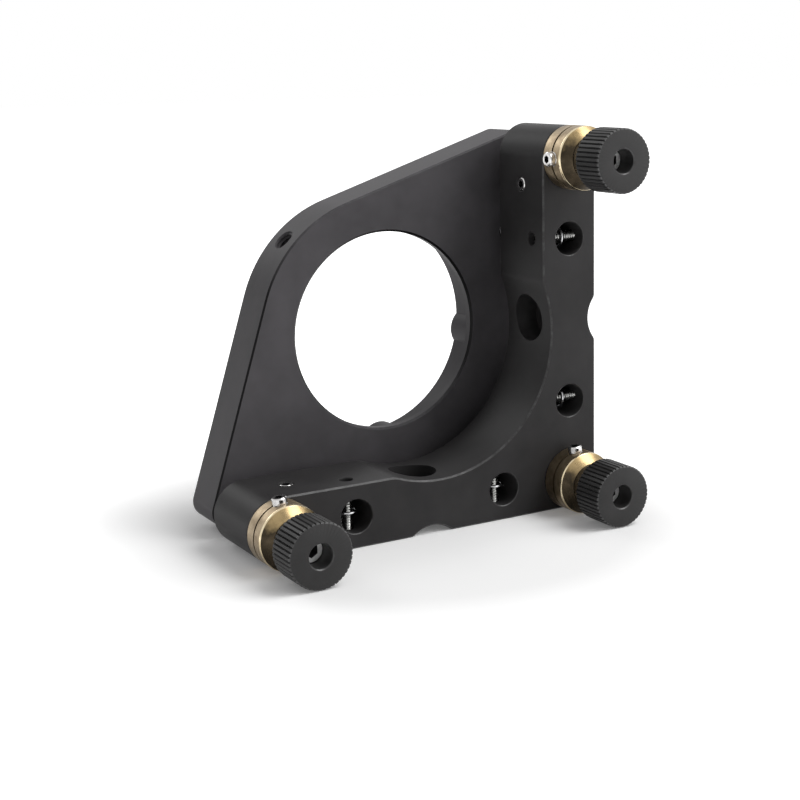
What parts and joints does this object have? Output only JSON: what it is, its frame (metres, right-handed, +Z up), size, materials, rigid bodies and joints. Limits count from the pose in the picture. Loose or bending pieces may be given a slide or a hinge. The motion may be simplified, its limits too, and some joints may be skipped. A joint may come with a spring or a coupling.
{
  "type": "kinematic mirror mount",
  "caption": "Kinematic mirror mount: a spring-loaded plate with a round recessed eye, tilted by fine adjusters with fluted knobs in brass collars on an L-shaped frame.",
  "frame": {"origin": "bottom centre of the overall box, on the plane the frame stands on, with all adjusters at mid travel", "axes": "+X along the lower arm toward the corner of the L, +Y from the knobs toward the mirror plate, +Z up along the upright arm"},
  "size_m": [0.073, 0.0462, 0.073],
  "materials": {
    "base_anodised": "matte black anodised",
    "plate_anodised": "matte black anodised",
    "collar_brass": "satin turned",
    "screw_steel": "ground thread",
    "ball_steel": "polished",
    "knob_black": "matte black anodised, fluted",
    "spring_steel": "bright drawn wire",
    "seat_steel": "ground",
    "socket_screw_steel": "bright",
    "anchor_steel": "bright thread",
    "pin_steel": "ground"
  },
  "bodies": {
    "base": {"base_frame": "base_anodised", "top_bushing": "collar_brass", "corner_bushing": "collar_brass", "side_bushing": "collar_brass", "collar_lock_screws": "socket_screw_steel", "bushing_grub_screws": "socket_screw_steel", "spring_anchor_screws": "anchor_steel"},
    "top_tip": {"top_ball_tip": "ball_steel"},
    "corner_tip": {"corner_ball_tip": "ball_steel"},
    "side_tip": {"side_ball_tip": "ball_steel"},
    "top_adjuster": {"top_adjuster_screw": "screw_steel", "top_knob": "knob_black"},
    "corner_adjuster": {"corner_adjuster_screw": "screw_steel", "corner_knob": "knob_black"},
    "side_adjuster": {"side_adjuster_screw": "screw_steel", "side_knob": "knob_black"},
    "tilt_stage_one": {"upper_spring": "spring_steel", "lower_spring": "spring_steel"},
    "tilt_stage_two": {"left_spring": "spring_steel", "right_spring": "spring_steel"},
    "plate": {"mirror_plate": "plate_anodised", "cone_seat": "seat_steel", "vee_seat": "seat_steel", "flat_seat": "seat_steel", "plate_spring_pins": "pin_steel"}
  },
  "joints": [
    {"name": "top_screw_travel", "type": "slide", "parent": "base", "child": "top_tip", "axis": [0, 1, 0], "range_m": [-0.002, 0.002]},
    {"name": "top_knob_turn", "type": "hinge", "parent": "top_tip", "child": "top_adjuster", "pos_m": [0.0306, 0.01265, 0.0671], "axis": [0, 1, 0], "range_deg": [-2881, 2881]},
    {"name": "corner_screw_travel", "type": "slide", "parent": "base", "child": "corner_tip", "axis": [0, 1, 0], "range_m": [-0.002, 0.002]},
    {"name": "corner_knob_turn", "type": "hinge", "parent": "corner_tip", "child": "corner_adjuster", "pos_m": [0.0306, 0.01265, 0.0059], "axis": [0, 1, 0], "range_deg": [-2881, 2881]},
    {"name": "side_screw_travel", "type": "slide", "parent": "base", "child": "side_tip", "axis": [0, 1, 0], "range_m": [-0.002, 0.002]},
    {"name": "side_knob_turn", "type": "hinge", "parent": "side_tip", "child": "side_adjuster", "pos_m": [-0.0306, 0.01265, 0.0059], "axis": [0, 1, 0], "range_deg": [-2881, 2881]},
    {"name": "corner_tilt", "type": "hinge", "parent": "base", "child": "tilt_stage_one", "pos_m": [-0.0306, 0.01265, 0.0059], "axis": [0.7071, 0, 0.7071], "range_deg": [-2.67, 2.67], "deforming": ["upper_spring", "lower_spring"]},
    {"name": "side_tilt", "type": "hinge", "parent": "tilt_stage_one", "child": "tilt_stage_two", "pos_m": [0.0306, 0.01265, 0.0059], "axis": [0, 0, -1], "range_deg": [-1.89, 1.89], "deforming": ["left_spring", "right_spring"]},
    {"name": "top_tilt", "type": "hinge", "parent": "tilt_stage_two", "child": "plate", "pos_m": [0.0306, 0.01265, 0.0059], "axis": [-1, 0, 0], "range_deg": [-1.89, 1.89]}
  ],
  "couplings": [
    {"joint": "top_knob_turn", "follows": "top_screw_travel", "rad_per_m": 25133},
    {"joint": "corner_knob_turn", "follows": "corner_screw_travel", "rad_per_m": 25133},
    {"joint": "side_knob_turn", "follows": "side_screw_travel", "rad_per_m": 25133},
    {"joint": "corner_tilt", "follows": "corner_screw_travel", "rad_per_m": 23.108},
    {"joint": "side_tilt", "follows": "side_screw_travel", "rad_per_m": 16.34},
    {"joint": "top_tilt", "follows": "top_screw_travel", "rad_per_m": 16.34}
  ]
}
